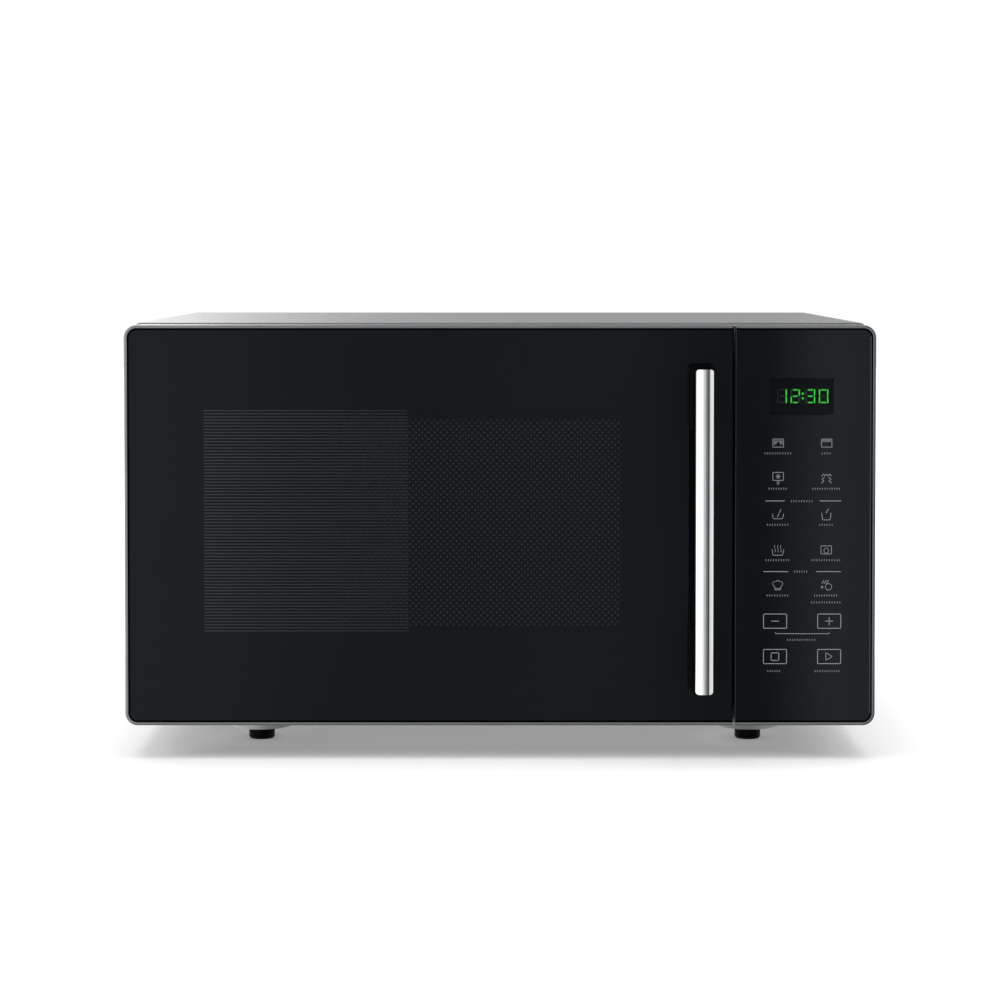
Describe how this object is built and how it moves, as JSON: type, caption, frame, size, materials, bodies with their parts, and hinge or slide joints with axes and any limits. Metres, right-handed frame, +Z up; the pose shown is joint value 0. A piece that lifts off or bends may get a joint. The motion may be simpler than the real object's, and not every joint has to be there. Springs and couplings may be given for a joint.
{
  "type": "microwave oven",
  "caption": "Free-standing microwave oven with grill: hinged black glass door with bar handle, touch control panel, glass turntable on a roller ring.",
  "frame": {"origin": "middle of the oven's overall box, on the surface that the feet stand on", "axes": "+X to the right as the user faces the door, +Y to the back, +Z up"},
  "size_m": [0.483, 0.416, 0.281],
  "materials": {
    "grey_paint": "fine satin grey paint",
    "zinc_steel": "galvanised sheet",
    "silver_moulding": "silver painted moulding",
    "black_pane": "black printed glass, polished",
    "clear_glass": "clear glass",
    "bar_steel": "fine brushed, polished",
    "black_plastic": "fine texture",
    "white_plastic": "moulded, smooth",
    "rubber": "matt",
    "cavity_enamel": "light grey enamel",
    "pan_paint": "black paint",
    "bright_steel": "plated",
    "element_steel": "heat-tinted sheath",
    "mica": "pressed mica",
    "core_iron": "varnished laminations",
    "copper": "enamelled wire",
    "fin_aluminium": "as pressed",
    "stub_ceramic": "glazed stub",
    "board_green": "circuit board"
  },
  "bodies": {
    "cabinet": {"air_duct": "black_plastic", "back_panel": "grey_paint", "base_plate": "zinc_steel", "board_components": "board_green", "case_screws": "bright_steel", "cavity_lamp": "clear_glass", "cavity_liner": "cavity_enamel", "control_board": "board_green", "control_frame": "silver_moulding", "control_glass": "black_pane", "cord_inlet": "black_plastic", "display_module": "black_plastic", "fan_housing": "black_plastic", "fan_motor": "core_iron", "foot_front_left": "rubber", "foot_front_right": "rubber", "foot_rear_left": "rubber", "foot_rear_right": "rubber", "front_flange": "zinc_steel", "grill_clips": "element_steel", "grill_element": "element_steel", "hinge_bracket_lower": "zinc_steel", "hinge_bracket_upper": "zinc_steel", "hv_capacitor": "bright_steel", "hv_diode": "board_green", "lamp_holder": "white_plastic", "latch_board": "white_plastic", "magnetron_antenna": "stub_ceramic", "magnetron_core": "fin_aluminium", "magnetron_yoke": "zinc_steel", "microswitches": "black_plastic", "noise_filter": "board_green", "outer_wrapper": "grey_paint", "rear_spacers": "black_plastic", "transformer_core": "core_iron", "transformer_windings": "copper", "turntable_motor": "bright_steel", "waveguide": "zinc_steel", "waveguide_cover": "mica"},
    "door": {"door_frame": "silver_moulding", "door_glass": "black_pane", "door_pan": "pan_paint", "door_screen": "pan_paint", "choke_cover": "black_plastic", "inner_glass": "clear_glass", "handle_bar": "bar_steel", "handle_mount_upper": "black_plastic", "handle_mount_lower": "black_plastic", "handle_screws": "bright_steel", "hinge_bushes": "white_plastic"},
    "latch": {"latch_slide": "white_plastic", "latch_spring": "bright_steel"},
    "turntable": {"drive_shaft": "bright_steel", "drive_coupler": "white_plastic", "glass_plate": "clear_glass"},
    "roller_ring": {"roller_ring": "white_plastic"},
    "roller_1": {"roller_1": "white_plastic"},
    "roller_2": {"roller_2": "white_plastic"},
    "roller_3": {"roller_3": "white_plastic"},
    "fan": {"fan_impeller": "white_plastic"}
  },
  "joints": [
    {"name": "door_hinge", "type": "hinge", "parent": "cabinet", "child": "door", "pos_m": [-0.2305, -0.158, 0.1513], "axis": [0, 0, -1], "range_deg": [0, 100]},
    {"name": "latch_travel", "type": "slide", "parent": "door", "child": "latch", "axis": [0, 0, 1], "range_m": [0, 0.003], "stiffness_N_per_m": 400, "springref_m": -0.004, "deforming": ["latch_spring"]},
    {"name": "turntable_spin", "type": "hinge", "parent": "cabinet", "child": "turntable", "pos_m": [-0.052, 0.028, 0.05], "axis": [0, 0, 1], "continuous": true},
    {"name": "ring_spin", "type": "hinge", "parent": "cabinet", "child": "roller_ring", "pos_m": [-0.052, 0.028, 0.05], "axis": [0, 0, 1], "continuous": true},
    {"name": "roller_1_spin", "type": "hinge", "parent": "roller_ring", "child": "roller_1", "pos_m": [0.052, 0.028, 0.0503], "axis": [1, 0, 0], "continuous": true},
    {"name": "roller_2_spin", "type": "hinge", "parent": "roller_ring", "child": "roller_2", "pos_m": [-0.104, 0.11807, 0.0503], "axis": [-0.5, 0.866, 0], "continuous": true},
    {"name": "roller_3_spin", "type": "hinge", "parent": "roller_ring", "child": "roller_3", "pos_m": [-0.104, -0.06207, 0.0503], "axis": [-0.5, -0.866, 0], "continuous": true},
    {"name": "fan_spin", "type": "hinge", "parent": "cabinet", "child": "fan", "pos_m": [0.18, 0.15, 0.19], "axis": [0, 1, 0], "continuous": true}
  ],
  "couplings": [
    {"joint": "ring_spin", "follows": "turntable_spin", "ratio": 0.5},
    {"joint": "roller_1_spin", "follows": "turntable_spin", "ratio": -7.4286},
    {"joint": "roller_2_spin", "follows": "turntable_spin", "ratio": -7.4286},
    {"joint": "roller_3_spin", "follows": "turntable_spin", "ratio": -7.4286}
  ]
}
